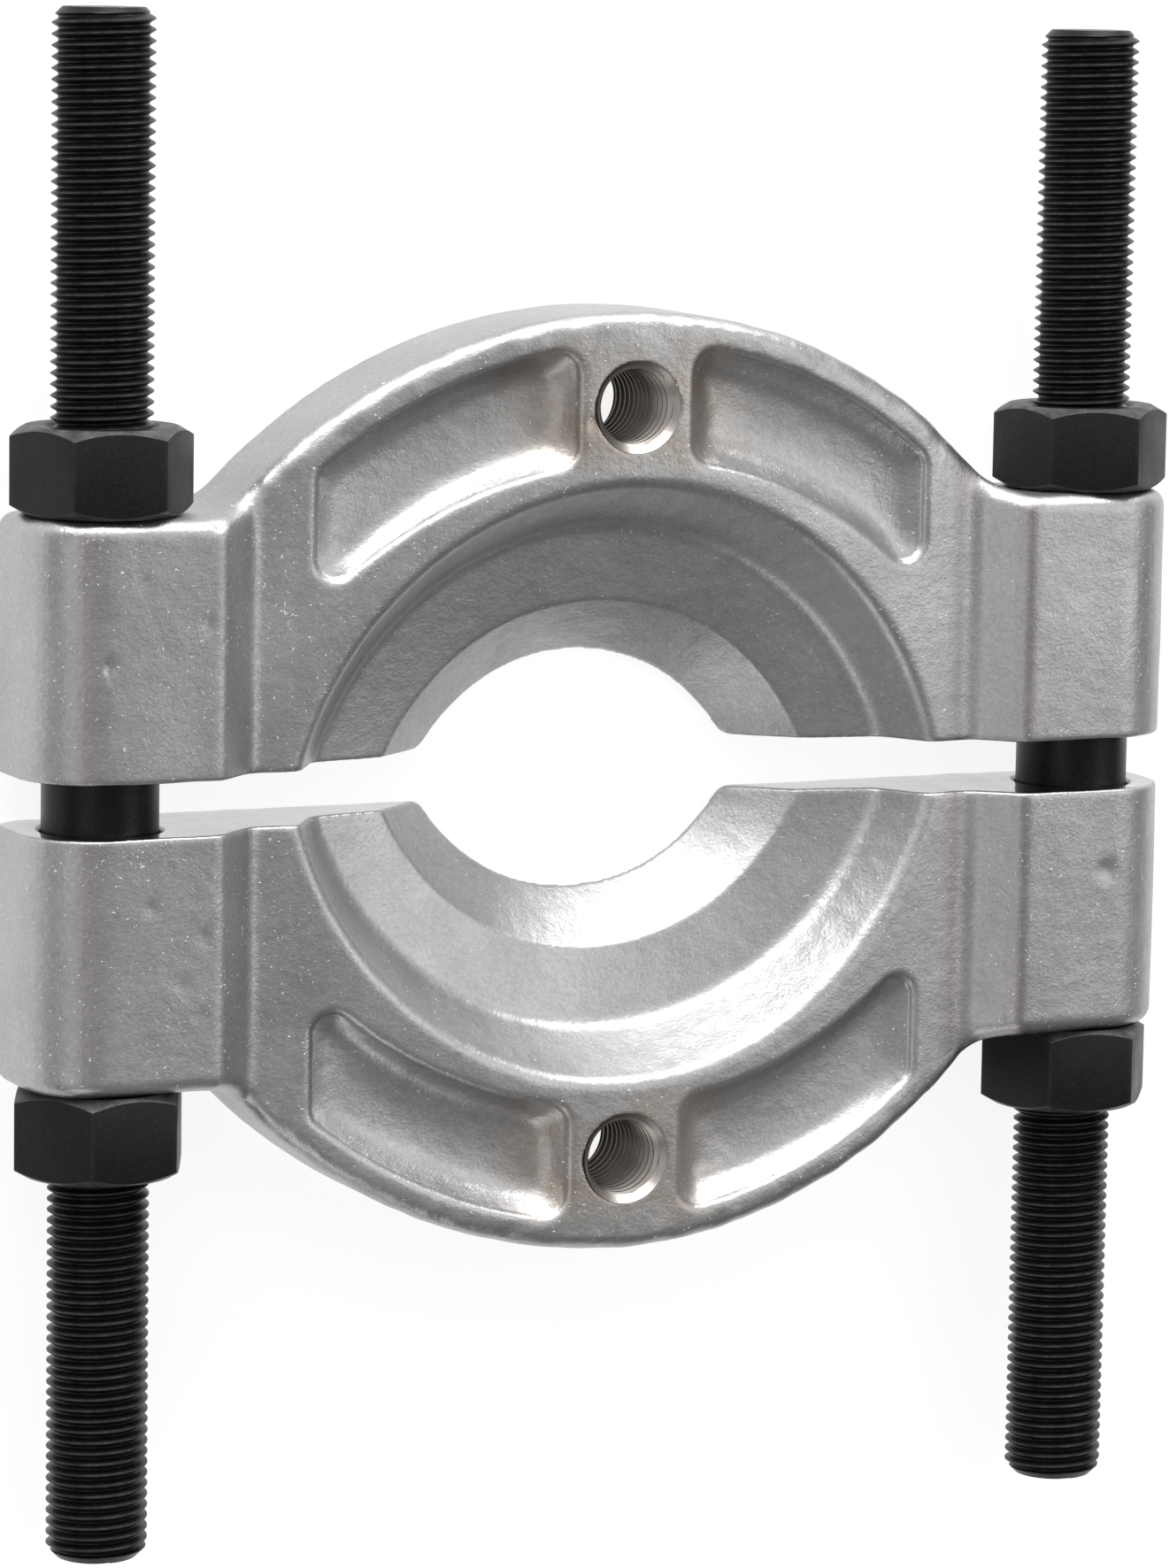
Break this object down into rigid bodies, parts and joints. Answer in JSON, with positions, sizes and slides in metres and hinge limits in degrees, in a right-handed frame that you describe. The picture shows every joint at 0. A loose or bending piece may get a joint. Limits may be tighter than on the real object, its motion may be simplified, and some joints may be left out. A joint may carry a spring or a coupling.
{
  "type": "bearing separator",
  "caption": "Split bearing separator: forged half plates with a knife-edged, dished bore, drawn together on long threaded studs by hexagon nuts, with tapped holes for a puller.",
  "frame": {"origin": "centre of the bore, in the plane of the two stud axes, with the studs' mean middle at Y = 0", "axes": "+Y along the studs, across the split; +X from stud to stud; +Z along the bore, away from the flat back towards the dished face"},
  "size_m": [0.1752, 0.2132, 0.0248],
  "materials": {
    "forged_steel": "tumbled, plated satin",
    "stud_steel": "black oxide, satin",
    "nut_steel": "black oxide, satin"
  },
  "bodies": {
    "studs": {"left_stud": "stud_steel", "right_stud": "stud_steel"},
    "upper_half": {"upper_jaw": "forged_steel"},
    "lower_half": {"lower_jaw": "forged_steel"},
    "upper_left_nut": {"nut_upper_left": "nut_steel"},
    "upper_right_nut": {"nut_upper_right": "nut_steel"},
    "lower_left_nut": {"nut_lower_left": "nut_steel"},
    "lower_right_nut": {"nut_lower_right": "nut_steel"}
  },
  "joints": [
    {"name": "upper_half_slide", "type": "slide", "parent": "studs", "child": "upper_half", "axis": [0, 1, 0], "range_m": [-0.00358, 0.052]},
    {"name": "lower_half_slide", "type": "slide", "parent": "studs", "child": "lower_half", "axis": [0, -1, 0], "range_m": [-0.00358, 0.052]},
    {"name": "upper_left_nut_turn", "type": "hinge", "parent": "upper_half", "child": "upper_left_nut", "pos_m": [-0.075, 0.039, 0], "axis": [0, 1, 0], "range_deg": [-859.3, 12480.1]},
    {"name": "upper_right_nut_turn", "type": "hinge", "parent": "upper_half", "child": "upper_right_nut", "pos_m": [0.075, 0.039, 0], "axis": [0, 1, 0], "range_deg": [-859.3, 12480.1]},
    {"name": "lower_left_nut_turn", "type": "hinge", "parent": "lower_half", "child": "lower_left_nut", "pos_m": [-0.075, -0.039, 0], "axis": [0, -1, 0], "range_deg": [-859.3, 12480.1]},
    {"name": "lower_right_nut_turn", "type": "hinge", "parent": "lower_half", "child": "lower_right_nut", "pos_m": [0.075, -0.039, 0], "axis": [0, -1, 0], "range_deg": [-859.3, 12480.1]}
  ],
  "couplings": [
    {"joint": "upper_left_nut_turn", "follows": "upper_half_slide", "rad_per_m": 4188.8},
    {"joint": "upper_right_nut_turn", "follows": "upper_half_slide", "rad_per_m": 4188.8},
    {"joint": "lower_left_nut_turn", "follows": "lower_half_slide", "rad_per_m": 4188.8},
    {"joint": "lower_right_nut_turn", "follows": "lower_half_slide", "rad_per_m": 4188.8}
  ]
}
